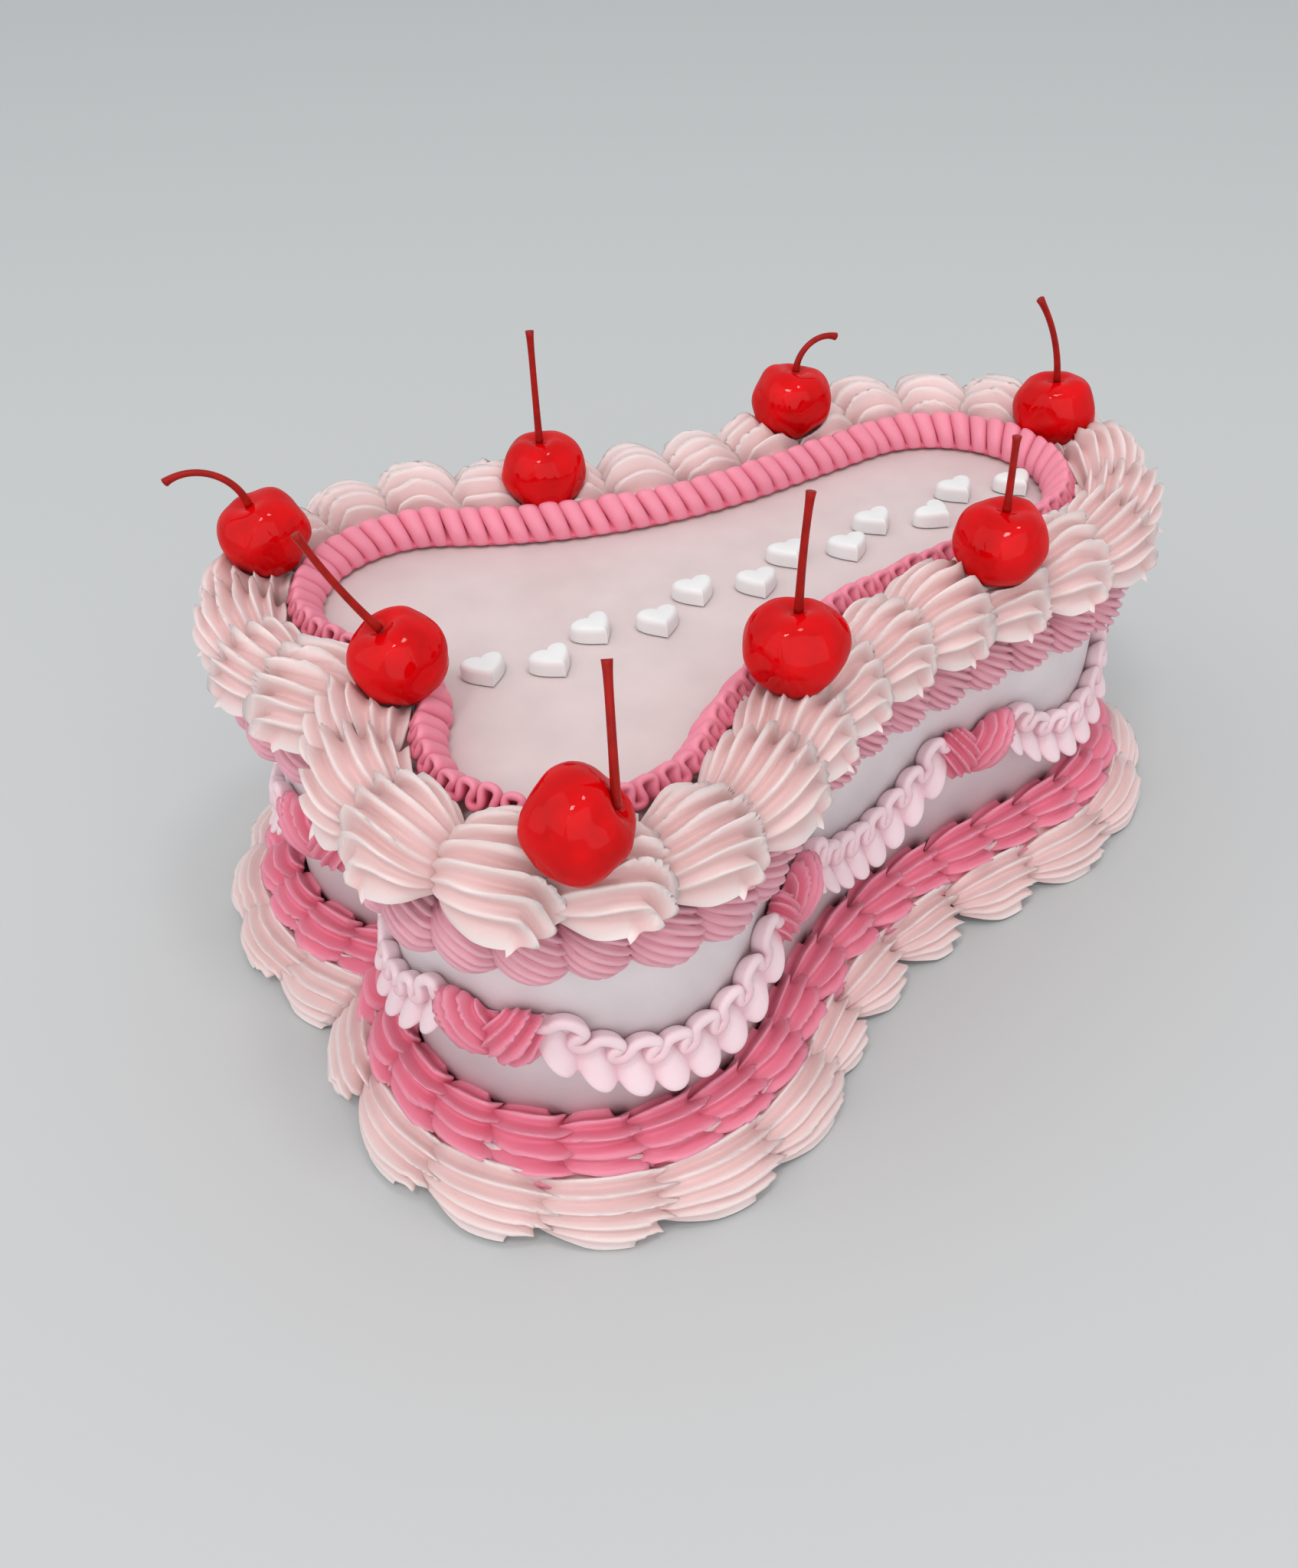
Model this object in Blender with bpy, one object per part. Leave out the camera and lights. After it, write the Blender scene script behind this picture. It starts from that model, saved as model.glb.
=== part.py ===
"""A piped celebration cake: two round lobes and a long shaft with a rounded tip.

The cake stands on its flat underside. Its rim, its wall and its foot carry rows
of piped shells, ruffles and swags, and eight cherries sit on the rim. All sizes
are in metres. X runs along the shaft, Z is up, and the origin is on the
underside, between the lobes and the shaft. A place on the cake is given by its
distance along the wall, anticlockwise from the notch between the lobes, and by
its offset outwards from the wall.
"""
import math
import random

import bmesh
import bpy
from mathutils import Matrix, Vector

# The plan of the cake
CAKE_HEIGHT = 0.100
LOBE_RADIUS = 0.0488
LOBE_X = -0.0360
LOBE_Y = 0.0375
SHAFT_HALF_WIDTH = 0.0501
TIP_X = 0.1145
WAIST_RADIUS = 0.1346
NOTCH_RADIUS = 0.0120
NOTCH_RADIUS_LEAST = 0.0040

# Gaps between neighbouring pieces, wider where one of them is curved
GAP = 0.0004
WALL_GAP = 0.0007

# How many straight steps each part of the wall is drawn with
NOTCH_STEPS = 3
LOBE_STEPS = 16
WAIST_STEPS = 6
SHAFT_STEPS = 1
TIP_STEPS = 9

# Girth of a piped shell from its tail, under its neighbour's head, to its own head
SHELL_GIRTHS = ((0.00, 0.66), (0.30, 0.82), (0.62, 1.00), (0.90, 0.93))
SHORT_SHELL_GIRTHS = ((0.00, 0.64), (0.45, 0.94), (0.86, 0.98))
GROOVE_DEPTH = 0.13
SWELL = 0.04

# Pale shells on the rim: a fat rope that leans a little outwards
RIM_SHELLS = 30
RIM_RIBS = 5
RIM_HALF_WIDTH = 0.0134
RIM_HEIGHT = 0.0208
RIM_TILT = math.radians(12)
RIM_CENTRE = (0.0012, 0.0972)
RIM_INNER_EDGE = -0.0104
RIM_UNDERSIDE = 0.0942
RIM_TURN = 0.0640

# Finely ribbed shells on the wall under the rim
SIDE_SHELLS = 44
SIDE_RIBS = 3
SIDE_HALF_WIDTH = 0.0092
SIDE_HEIGHT = 0.0086
SIDE_CENTRE = (WALL_GAP, 0.0848)
SIDE_TOP = 0.0936

# Deep pink shells over wider pale shells at the foot
FOOT_UPPER_SHELLS = 37
FOOT_UPPER_RIBS = 3
FOOT_UPPER_HALF_WIDTH = 0.0085
FOOT_UPPER_HEIGHT = 0.0100
FOOT_UPPER_TILT = math.radians(72)
FOOT_UPPER_CENTRE = (0.0015, 0.0142)
FOOT_LOWER_SHELLS = 28
FOOT_LOWER_RIBS = 4
FOOT_LOWER_HALF_WIDTH = 0.0130
FOOT_LOWER_HEIGHT = 0.0122
FOOT_LOWER_TILT = math.radians(30)
FOOT_LOWER_CENTRE = (0.0085, 0.0006)
FOOT_SPLIT_HEIGHT = 0.0066
FOOT_SPLIT_RISE = 0.30

# Folded ribbon inside the rim
RUFFLE_FOLDS = 80
RUFFLE_OUTER = -0.0111
RUFFLE_CREST = -0.0124
RUFFLE_INNER = -0.0198
RUFFLE_HEIGHT = 0.0078
RUFFLE_DENT = 0.0026

# Drops and swags on the wall
DROPS = 8
DROP_FIRST = 0.0700
DROP_LAST = 0.6840
DROP_FOOT = 0.0435
DROP_LENGTH = 0.0215
DROP_HALF_WIDTH = 0.0068
DROP_HEIGHT = 0.0085
DROP_SEAT = 0.0008
DROP_OVERLAP = 0.0006
DROP_RIBS = 3
DROP_ROWS = 3
DROP_SPREAD = math.radians(33)
SWAG_END_GAP = 0.0150
SWAG_LEVEL = 0.0600
SWAG_DIP = 0.0125
SWAG_WAVES = 6
SWAG_HALF_BAND = 0.0040
SWAG_DEPTH = 0.0072
SWAG_SKIRT = 0.0165
SWAG_SKIRT_DEPTH = 0.0030
SWAG_FOLD = 0.20

# Cherries: size, then the middle of each
CHERRY_RADIUS = 0.0121
CHERRY_SEAT_GAP = 0.0005
CHERRY_RINGS = 6
CHERRY_SIDES = 10
CHERRY_DIMPLE = 0.30
CHERRY_PLACES = (
    (-0.0677, 0.0682, 0.1185),
    (-0.0636, -0.0078, 0.1180),
    (-0.0605, -0.0857, 0.1195),
    (0.0104, -0.0637, 0.1220),
    (0.0845, -0.0535, 0.1190),
    (0.1620, 0.0024, 0.1138),
    (0.0965, 0.0495, 0.1180),
    (0.0135, 0.0587, 0.1160),
)
# Lean and heading of each cherry, in degrees
CHERRY_LEANS = ((15, 160), (30, 160), (65, -30), (5, 20), (3, 0), (4, 150), (12, 10), (3, 150))
# Stems: lean and heading where each leaves its cherry, then its length and bend in degrees
STEMS = (
    (10, 160, 0.0290, 85),
    (38, 158, 0.0300, -14),
    (4, 60, 0.0340, 22),
    (2, 20, 0.0285, 10),
    (0, 0, 0.0200, 0),
    (2, 165, 0.0255, 26),
    (4, -10, 0.0185, 112),
    (0, 150, 0.0270, 12),
)
STEM_RADIUS = 0.0010
STEM_GAP = 0.0012
STEM_STEPS = 4
STEM_SIDES = 5

# White fondant hearts along the top
HEARTS = 12
HEART_CORNERS = 10
HEART_SIZE = 0.0115
HEART_THICK = 0.0045
HEART_FIRST_X = -0.0400
HEART_LAST_X = 0.1340
HEART_Y = -0.0070
HEART_WAVE = 0.0035
HEART_TURN = 0.3

COLOURS = {
    "cake_icing": (0.79, 0.66, 0.67),
    "pale_piping": (0.87, 0.66, 0.64),
    "rose_piping": (0.80, 0.36, 0.50),
    "mid_piping": (0.82, 0.45, 0.55),
    "deep_piping": (0.74, 0.19, 0.34),
    "swag_piping": (0.84, 0.58, 0.62),
    "cherry_skin": (0.62, 0.01, 0.01),
    "stem": (0.35, 0.03, 0.02),
    "fondant": (0.88, 0.87, 0.85),
}
ICING_ROUGHNESS = 0.55
ROUGHNESS = {"cherry_skin": 0.15, "stem": 0.4, "fondant": 0.5}

TINY = 1e-9
UP = Vector((0, 0, 1))
rng = random.Random(11)


def material(name):
    """A plain finish in the named colour."""
    if name in bpy.data.materials:
        return bpy.data.materials[name]
    finish = bpy.data.materials.new(name)
    finish.use_nodes = True
    shader = finish.node_tree.nodes["Principled BSDF"]
    shader.inputs["Base Color"].default_value = (*COLOURS[name], 1)
    shader.inputs["Roughness"].default_value = ROUGHNESS.get(name, ICING_ROUGHNESS)
    shader.inputs["Metallic"].default_value = 0
    return finish


def finish_object(shape, name, finish):
    """Turn a bmesh into a named object in the scene."""
    bmesh.ops.recalc_face_normals(shape, faces=shape.faces)
    mesh = bpy.data.meshes.new(name)
    shape.to_mesh(mesh)
    shape.free()
    mesh.materials.append(material(finish))
    piece = bpy.data.objects.new(name, mesh)
    bpy.context.scene.collection.objects.link(piece)
    return piece


# The wall, and places beside it


def half_plan(offset):
    """Arcs of half the plan: middle, radius, first and last angle, and which way is out."""
    lobe = LOBE_RADIUS + offset
    notch = max(NOTCH_RADIUS - offset, NOTCH_RADIUS_LEAST)
    notch_x = LOBE_X - math.sqrt((lobe + notch) ** 2 - LOBE_Y ** 2)
    waist_y = SHAFT_HALF_WIDTH + WAIST_RADIUS
    reach = LOBE_RADIUS + WAIST_RADIUS
    waist_x = LOBE_X + math.sqrt(reach ** 2 - (waist_y - LOBE_Y) ** 2)
    to_lobe = math.atan2(LOBE_Y, LOBE_X - notch_x)
    to_waist = math.atan2(waist_y - LOBE_Y, waist_x - LOBE_X)
    return (
        (notch_x, 0, notch, 0, to_lobe, -1),
        (LOBE_X, LOBE_Y, lobe, to_lobe + math.pi, to_waist, 1),
        (waist_x, waist_y, WAIST_RADIUS - offset, to_waist + math.pi, 1.5 * math.pi, -1),
        (waist_x, TIP_X, SHAFT_HALF_WIDTH + offset, None, None, 1),
        (TIP_X, 0, SHAFT_HALF_WIDTH + offset, math.pi / 2, 0, 1),
    )


def arc_length(arc):
    """Length of one arc, or of the straight side of the shaft."""
    first, second, radius, start, end, _ = arc
    if start is None:
        return second - first
    return radius * abs(end - start)


ARC_LENGTHS = [arc_length(arc) for arc in half_plan(0)]
HALF_LENGTH = sum(ARC_LENGTHS)


def place(distance, offset=0.0):
    """The point at a distance along the wall and an offset from it, and the way out."""
    distance %= 2 * HALF_LENGTH
    mirror = -1 if distance < HALF_LENGTH else 1
    left = min(distance, 2 * HALF_LENGTH - distance, HALF_LENGTH - TINY)
    for arc, length in zip(half_plan(offset), ARC_LENGTHS):
        if left <= length:
            break
        left -= length
    share = min(left / length, 1)
    first, second, radius, start, end, out = arc
    if start is None:
        return Vector((first + (second - first) * share, mirror * radius, 0)), Vector((0, mirror, 0))
    angle = start + (end - start) * share
    ray = Vector((math.cos(angle), mirror * math.sin(angle), 0))
    return Vector((first, mirror * second, 0)) + ray * radius, ray * out


def even_distances(offset, count):
    """Distances along the wall that are evenly spaced when measured at an offset."""
    samples = 900
    marks = [2 * HALF_LENGTH * index / samples for index in range(samples + 1)]
    points = [place(mark, offset)[0] for mark in marks]
    lengths = [0.0]
    for here, after in zip(points, points[1:]):
        lengths.append(lengths[-1] + (after - here).length)
    spaced = []
    index = 0
    for step in range(count):
        wanted = lengths[-1] * step / count
        while lengths[index + 1] < wanted:
            index += 1
        share = (wanted - lengths[index]) / max(lengths[index + 1] - lengths[index], 1e-9)
        spaced.append(marks[index] + (marks[index + 1] - marks[index]) * share)
    return spaced


def wall_corners():
    """Distances of the corners that the wall is drawn with."""
    steps = (NOTCH_STEPS, LOBE_STEPS, WAIST_STEPS, SHAFT_STEPS, TIP_STEPS)
    half = []
    start = 0.0
    for length, count in zip(ARC_LENGTHS, steps):
        half += [start + length * index / count for index in range(count)]
        start += length
    return half + [2 * HALF_LENGTH - distance for distance in [HALF_LENGTH] + half[:0:-1]]


def ring(profiles, distances, name, finish):
    """A closed ring round the cake: at each distance one profile of (offset, height) pairs."""
    shape = bmesh.new()
    loops = []
    for distance, profile in zip(distances, profiles):
        loop = []
        for offset, height in profile:
            spot = place(distance, offset)[0]
            loop.append(shape.verts.new((spot.x, spot.y, height)))
        loops.append(loop)
    count = len(profiles[0])
    for here, after in zip(loops, loops[1:] + loops[:1]):
        for corner in range(count):
            following = (corner + 1) % count
            shape.faces.new((here[corner], here[following], after[following], after[corner]))
    return finish_object(shape, name, finish)


def cake_body():
    """The iced cake: the plan, as tall as the cake."""
    shape = bmesh.new()
    base = shape.faces.new([shape.verts.new(place(distance)[0]) for distance in wall_corners()])
    raised = bmesh.ops.extrude_face_region(shape, geom=[base])["geom"]
    lifted = [item for item in raised if isinstance(item, bmesh.types.BMVert)]
    bmesh.ops.translate(shape, verts=lifted, vec=(0, 0, CAKE_HEIGHT))
    return finish_object(shape, "cake_body", "cake_icing")


# Joining and cutting


def bake(piece):
    """Apply a piece's modifiers."""
    graph = bpy.context.evaluated_depsgraph_get()
    solved = bpy.data.meshes.new_from_object(piece.evaluated_get(graph), depsgraph=graph)
    piece.modifiers.clear()
    piece.data = solved


def cut(piece, cutters):
    """Take the cutters out of a piece."""
    for cutter in cutters:
        knife = piece.modifiers.new("cut", "BOOLEAN")
        knife.operation = "DIFFERENCE"
        knife.solver = "MANIFOLD"
        knife.object = cutter
    bake(piece)


def join(first, second):
    """Unite two overlapping pieces into the first of them."""
    union = first.modifiers.new("union", "BOOLEAN")
    union.operation = "UNION"
    union.solver = "MANIFOLD"
    union.object = second
    bake(first)
    bpy.data.objects.remove(second)


# Rows of piped shells


def rope_profile(centre, tilt, half_width, height, girth, ribs):
    """The ribbed upper outline of a row, from its inner to its outer edge."""
    columns = 2 * ribs
    profile = []
    for column in range(columns + 1):
        sweep = math.pi * column / columns
        groove = girth * (1 if column % 2 else 1 - GROOVE_DEPTH)
        across = -half_width * math.cos(sweep) * groove
        rise = height * math.sin(sweep) ** 0.85 * groove
        profile.append([
            centre[0] + across * math.cos(tilt) + rise * math.sin(tilt),
            centre[1] - across * math.sin(tilt) + rise * math.cos(tilt),
        ])
    return profile


def stations(offset, count, girths, turn=0.0):
    """Where a row is measured: the distance and the girth at each step of each shell.

    Shells point their heads anticlockwise, except for those before the turn.
    """
    marks = even_distances(offset, count) + [2 * HALF_LENGTH]
    steps = []
    for start, end in zip(marks, marks[1:]):
        swell = rng.uniform(1 - SWELL, 1 + SWELL)
        backward = (start + end) / 2 < turn or start > 2 * HALF_LENGTH - turn
        for share, girth in girths:
            if backward:
                steps.append((end - (end - start) * share, girth * swell))
            else:
                steps.append((start + (end - start) * share, girth * swell))
    return sorted(steps)


def rim_border(cherry_hollows):
    """Large pale shells round the rim, piped both ways from one meeting point."""
    steps = stations(RIM_CENTRE[0], RIM_SHELLS, SHELL_GIRTHS, RIM_TURN)
    ground = CAKE_HEIGHT + GAP
    profiles = []
    for _, girth in steps:
        profile = rope_profile(RIM_CENTRE, RIM_TILT, RIM_HALF_WIDTH, RIM_HEIGHT, girth, RIM_RIBS)
        for corner in profile:
            corner[0] = max(corner[0], RIM_INNER_EDGE)
            if corner[0] < WALL_GAP:
                corner[1] = max(corner[1], ground)
            corner[1] = max(corner[1], RIM_UNDERSIDE)
        profile += [(WALL_GAP, RIM_UNDERSIDE), (WALL_GAP, ground)]
        profiles.append(profile)
    border = ring(profiles, [distance for distance, _ in steps], "top_shell_border", "pale_piping")
    cut(border, cherry_hollows)


def side_border():
    """Smaller shells hanging on the wall under the rim, their heads lowest."""
    steps = stations(SIDE_HEIGHT / 2, SIDE_SHELLS, SHORT_SHELL_GIRTHS)
    profiles = []
    for _, girth in steps:
        profile = rope_profile(SIDE_CENTRE, math.pi / 2, SIDE_HALF_WIDTH, SIDE_HEIGHT, girth,
                               SIDE_RIBS)
        for corner in profile:
            corner[0] = max(corner[0], WALL_GAP)
            corner[1] = min(corner[1], SIDE_TOP)
        profiles.append(profile)
    ring(profiles, [distance for distance, _ in steps], "side_shell_border", "mid_piping")


def foot_split(offset):
    """Height of the slanted line between the two rows at the foot."""
    return FOOT_SPLIT_HEIGHT + FOOT_SPLIT_RISE * offset


def foot_rows():
    """A deep pink row on the wall, over a wider pale row that rests on the ground."""
    steps = stations(FOOT_UPPER_HEIGHT / 2, FOOT_UPPER_SHELLS, SHORT_SHELL_GIRTHS)
    profiles = []
    for _, girth in steps:
        profile = rope_profile(FOOT_UPPER_CENTRE, FOOT_UPPER_TILT, FOOT_UPPER_HALF_WIDTH,
                               FOOT_UPPER_HEIGHT, girth, FOOT_UPPER_RIBS)
        for corner in profile:
            corner[0] = max(corner[0], WALL_GAP)
            corner[1] = max(corner[1], foot_split(corner[0]) + GAP)
        profiles.append(profile)
    ring(profiles, [distance for distance, _ in steps], "base_shells_upper", "deep_piping")

    steps = stations(FOOT_LOWER_CENTRE[0], FOOT_LOWER_SHELLS, SHORT_SHELL_GIRTHS)
    profiles = []
    for _, girth in steps:
        profile = rope_profile(FOOT_LOWER_CENTRE, FOOT_LOWER_TILT, FOOT_LOWER_HALF_WIDTH,
                               FOOT_LOWER_HEIGHT, girth, FOOT_LOWER_RIBS)
        for corner in profile:
            corner[0] = max(corner[0], WALL_GAP)
            corner[1] = min(max(corner[1], 0.0), foot_split(corner[0]))
        profile.append((WALL_GAP, 0.0))
        profiles.append(profile)
    ring(profiles, [distance for distance, _ in steps], "base_shells_lower", "pale_piping")


def ruffle(cherry_hollows):
    """A tightly folded ribbon just inside the rim."""
    distances = even_distances(RUFFLE_CREST, 2 * RUFFLE_FOLDS)
    ground = CAKE_HEIGHT + GAP
    profiles = []
    for index in range(len(distances)):
        dent = RUFFLE_DENT * (index % 2)
        profiles.append((
            (RUFFLE_OUTER, ground),
            (RUFFLE_CREST - dent * 0.4, ground + RUFFLE_HEIGHT - dent),
            (RUFFLE_INNER + dent, ground),
        ))
    band = ring(profiles, distances, "top_ruffle", "rose_piping")
    cut(band, cherry_hollows)


# Swags and drops


def swag(start, end, name):
    """A ruffle that hangs between two drops, over a pleated skirt."""
    steps = 2 * SWAG_WAVES
    shape = bmesh.new()
    loops = []
    for index in range(steps + 1):
        share = index / steps
        level = SWAG_LEVEL - SWAG_DIP * (1 - (2 * share - 1) ** 2)
        fold = 1 - SWAG_FOLD * (index % 2)
        profile = (
            (WALL_GAP, SWAG_HALF_BAND),
            (SWAG_DEPTH * fold, SWAG_HALF_BAND * 0.8),
            (SWAG_DEPTH * fold, -SWAG_HALF_BAND),
            (SWAG_SKIRT_DEPTH * fold, -SWAG_SKIRT * fold),
            (WALL_GAP, -SWAG_SKIRT * fold),
        )
        loop = []
        for offset, height in profile:
            spot = place(start + (end - start) * share, offset)[0]
            loop.append(shape.verts.new((spot.x, spot.y, level + height)))
        loops.append(loop)
    count = len(loops[0])
    for here, after in zip(loops, loops[1:]):
        for corner in range(count):
            following = (corner + 1) % count
            shape.faces.new((here[corner], here[following], after[following], after[corner]))
    shape.faces.new(loops[0])
    shape.faces.new(loops[-1])
    return finish_object(shape, name, "swag_piping")


def shell_point(along_share, across_share):
    """A place on a drop's shell, from tail to head and from side to side over its crest."""
    sweep = math.pi * across_share
    tail_share = min(along_share / 0.5, 1)
    lean = max(along_share - 0.5, 0) * math.pi
    girth = 0.25 + 0.75 * math.sin(tail_share * math.pi / 2)
    reach = 1 / math.hypot(math.cos(lean) / DROP_HEIGHT, math.sin(lean) / (DROP_LENGTH * 0.36))
    rise = reach * girth * math.sin(sweep) ** 0.85
    return Vector((
        DROP_LENGTH * (0.64 * tail_share - 0.5) + rise * math.sin(lean),
        -DROP_HALF_WIDTH * girth * math.cos(sweep) * (1 - 0.15 * lean),
        rise * math.cos(lean),
    ))


def drop_shell(frame):
    """One shell with its tail, ribbed back and rounded head, on a frame."""
    shape = bmesh.new()
    columns = 2 * DROP_RIBS
    bmesh.ops.create_grid(shape, x_segments=DROP_ROWS, y_segments=columns, size=1)
    for vert in shape.verts:
        column = round((vert.co.y + 1) / 2 * columns)
        groove = 1 if column % 2 else 1 - GROOVE_DEPTH
        vert.co = shell_point((vert.co.x + 1) / 2, column / columns) * groove
    rim = [edge for edge in shape.edges if edge.is_boundary]
    for edge in rim:
        for vert in edge.verts:
            vert.co.z = 0
    bmesh.ops.edgeloop_fill(shape, edges=rim)
    bmesh.ops.transform(shape, matrix=frame, verts=shape.verts)
    return finish_object(shape, "drop_shell", "deep_piping")


def drop(distance, name):
    """Two deep pink shells whose tails meet at the foot of a V, one over the other."""
    pair = []
    for side, seat in ((-1, DROP_SEAT), (1, DROP_SEAT + DROP_OVERLAP)):
        sideways = side * math.sin(DROP_SPREAD)
        middle, outward = place(distance + sideways * DROP_LENGTH / 2, seat)
        along = UP.cross(outward) * sideways + UP * math.cos(DROP_SPREAD)
        frame = Matrix((along, outward.cross(along), outward)).transposed().to_4x4()
        frame.translation = middle + UP * (DROP_FOOT + math.cos(DROP_SPREAD) * DROP_LENGTH / 2)
        pair.append(drop_shell(frame))
    join(*pair)
    pair[0].name = name


# Cherries and hearts


def lying(middle, lean, heading):
    """A place, and the way that a cherry or a stem leans there."""
    turn = Matrix.Rotation(math.radians(heading), 4, "Z")
    return Matrix.Translation(middle) @ turn @ Matrix.Rotation(math.radians(lean), 4, "Y")


def cherry(spot, radius, name):
    """A round cherry with a dimple where its stem goes in."""
    shape = bmesh.new()
    profile = []
    for index in range(CHERRY_RINGS + 1):
        angle = math.pi * index / CHERRY_RINGS
        reach = radius * (1 - CHERRY_DIMPLE * max(0.0, math.cos(angle)) ** 7)
        wide = 0 if index in (0, CHERRY_RINGS) else math.sin(angle)
        profile.append(shape.verts.new((reach * wide, 0, reach * math.cos(angle))))
    edges = [shape.edges.new(pair) for pair in zip(profile, profile[1:])]
    bmesh.ops.spin(shape, geom=profile + edges, cent=(0, 0, 0), axis=UP, angle=math.tau,
                   steps=CHERRY_SIDES, use_merge=True)
    bmesh.ops.remove_doubles(shape, verts=shape.verts, dist=1e-6)
    bmesh.ops.transform(shape, matrix=spot, verts=shape.verts)
    return finish_object(shape, name, "cherry_skin")


def stem(cherry_spot, lean, heading, length, bend, name):
    """A thin stem that rises from the dimple and bends over."""
    root = cherry_spot @ Vector((0, 0, CHERRY_RADIUS * (1 - CHERRY_DIMPLE) + STEM_GAP))
    spot = lying(root, lean, heading)
    shape = bmesh.new()
    loops = []
    foot = Vector()
    for step in range(STEM_STEPS + 1):
        slope = math.radians(bend) * step / STEM_STEPS
        front = Vector((math.cos(slope), 0, -math.sin(slope)))
        loop = []
        for corner in range(STEM_SIDES):
            angle = math.tau * corner / STEM_SIDES
            rim = Vector((0, math.cos(angle), 0)) + front * math.sin(angle)
            loop.append(shape.verts.new(foot + rim * STEM_RADIUS))
        loops.append(loop)
        foot = foot + Vector((math.sin(slope), 0, math.cos(slope))) * length / STEM_STEPS
    for here, after in zip(loops, loops[1:]):
        for corner in range(STEM_SIDES):
            following = (corner + 1) % STEM_SIDES
            shape.faces.new((here[corner], here[following], after[following], after[corner]))
    shape.faces.new(loops[0])
    shape.faces.new(loops[-1])
    bmesh.ops.transform(shape, matrix=spot, verts=shape.verts)
    return finish_object(shape, name, "stem")


def heart(x, y, turn, name):
    """A flat fondant heart lying on the top."""
    shape = bmesh.new()
    corners = []
    for step in range(HEART_CORNERS):
        angle = math.tau * step / HEART_CORNERS
        wide = math.sin(angle) ** 3
        tall = (13 * math.cos(angle) - 5 * math.cos(2 * angle) - 2 * math.cos(3 * angle)) / 16
        corners.append(shape.verts.new((wide * HEART_SIZE / 2, tall * HEART_SIZE / 2, 0)))
    raised = bmesh.ops.extrude_face_region(shape, geom=[shape.faces.new(corners)])["geom"]
    lifted = [item for item in raised if isinstance(item, bmesh.types.BMVert)]
    bmesh.ops.translate(shape, verts=lifted, vec=(0, 0, HEART_THICK))
    spot = Matrix.Translation((x, y, CAKE_HEIGHT + GAP)) @ Matrix.Rotation(turn, 4, "Z")
    bmesh.ops.transform(shape, matrix=spot, verts=shape.verts)
    return finish_object(shape, name, "fondant")


def main():
    for piece in list(bpy.data.objects):
        bpy.data.objects.remove(piece)

    cake_body()
    spots = [lying(middle, *lean) for middle, lean in zip(CHERRY_PLACES, CHERRY_LEANS)]
    radii = [CHERRY_RADIUS * rng.uniform(0.96, 1.04) for _ in spots]
    hollows = [cherry(spot, radius + CHERRY_SEAT_GAP, "cutter_cherry")
               for spot, radius in zip(spots, radii)]
    rim_border(hollows)
    side_border()
    foot_rows()
    ruffle(hollows)

    for hollow in hollows:
        bpy.data.objects.remove(hollow)

    drops = [DROP_FIRST + (DROP_LAST - DROP_FIRST) * index / (DROPS - 1) for index in range(DROPS)]
    following = drops[1:] + [DROP_FIRST + 2 * HALF_LENGTH]
    for index, (here, after) in enumerate(zip(drops, following), start=1):
        drop(here, f"drop_{index}")
        swag(here + SWAG_END_GAP, after - SWAG_END_GAP, f"swag_{index}")

    for index, (spot, radius, bends) in enumerate(zip(spots, radii, STEMS), start=1):
        cherry(spot, radius, f"cherry_{index}")
        stem(spot, *bends, f"cherry_stem_{index}")
    for index in range(HEARTS):
        x = HEART_FIRST_X + (HEART_LAST_X - HEART_FIRST_X) * index / (HEARTS - 1)
        y = HEART_Y + HEART_WAVE * (-1) ** index
        heart(x, y, rng.uniform(-HEART_TURN, HEART_TURN), f"heart_{index + 1}")


main()
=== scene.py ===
"""Looks for a piped celebration cake: buttercream rows, ruffles and swags, hearts and cherries.

A place on the cake is given by its distance along the wall, anticlockwise from the
notch between the lobes, and by its offset outwards from the wall. Sizes are in metres,
and angles in radians unless a comment says degrees.
"""

import math
import random
from collections import namedtuple

import bmesh
import bpy
from mathutils import Matrix, Vector, noise

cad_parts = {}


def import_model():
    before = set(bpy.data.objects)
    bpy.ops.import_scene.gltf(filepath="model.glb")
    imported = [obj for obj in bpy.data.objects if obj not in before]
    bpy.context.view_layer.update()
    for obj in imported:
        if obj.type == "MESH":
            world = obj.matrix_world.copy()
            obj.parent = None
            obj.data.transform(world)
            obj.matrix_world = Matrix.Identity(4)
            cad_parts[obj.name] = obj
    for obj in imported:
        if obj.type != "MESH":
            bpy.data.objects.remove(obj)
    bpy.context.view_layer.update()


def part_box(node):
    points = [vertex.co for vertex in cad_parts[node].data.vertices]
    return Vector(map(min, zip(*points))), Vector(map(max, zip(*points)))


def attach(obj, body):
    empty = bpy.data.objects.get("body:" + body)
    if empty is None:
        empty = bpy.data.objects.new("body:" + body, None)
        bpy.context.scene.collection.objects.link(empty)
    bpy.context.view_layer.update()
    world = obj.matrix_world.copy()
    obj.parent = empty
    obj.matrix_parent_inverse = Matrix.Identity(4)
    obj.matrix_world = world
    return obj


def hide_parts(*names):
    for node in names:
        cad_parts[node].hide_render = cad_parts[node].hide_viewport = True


# The plan of the cake
CAKE_HEIGHT = 0.100
LOBE_RADIUS = 0.0488
LOBE_X = -0.0360
LOBE_Y = 0.0375
SHAFT_HALF_WIDTH = 0.0501
TIP_X = 0.1145
WAIST_RADIUS = 0.1346
NOTCH_RADIUS = 0.0120
NOTCH_RADIUS_LEAST = 0.0040
WALL_CORNERS = 260
TOP_EDGE_RADIUS = 0.0025

# A shell: how many ribs it has and whether they are thin blades, the girth of its tail as
# a share of its head's, its length, half width and height, how far its head reaches
# forward, and the depth of its hollows as a share of its girth
Style = namedtuple("Style", "ribs bladed tail_girth length half_width height reach groove")

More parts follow.
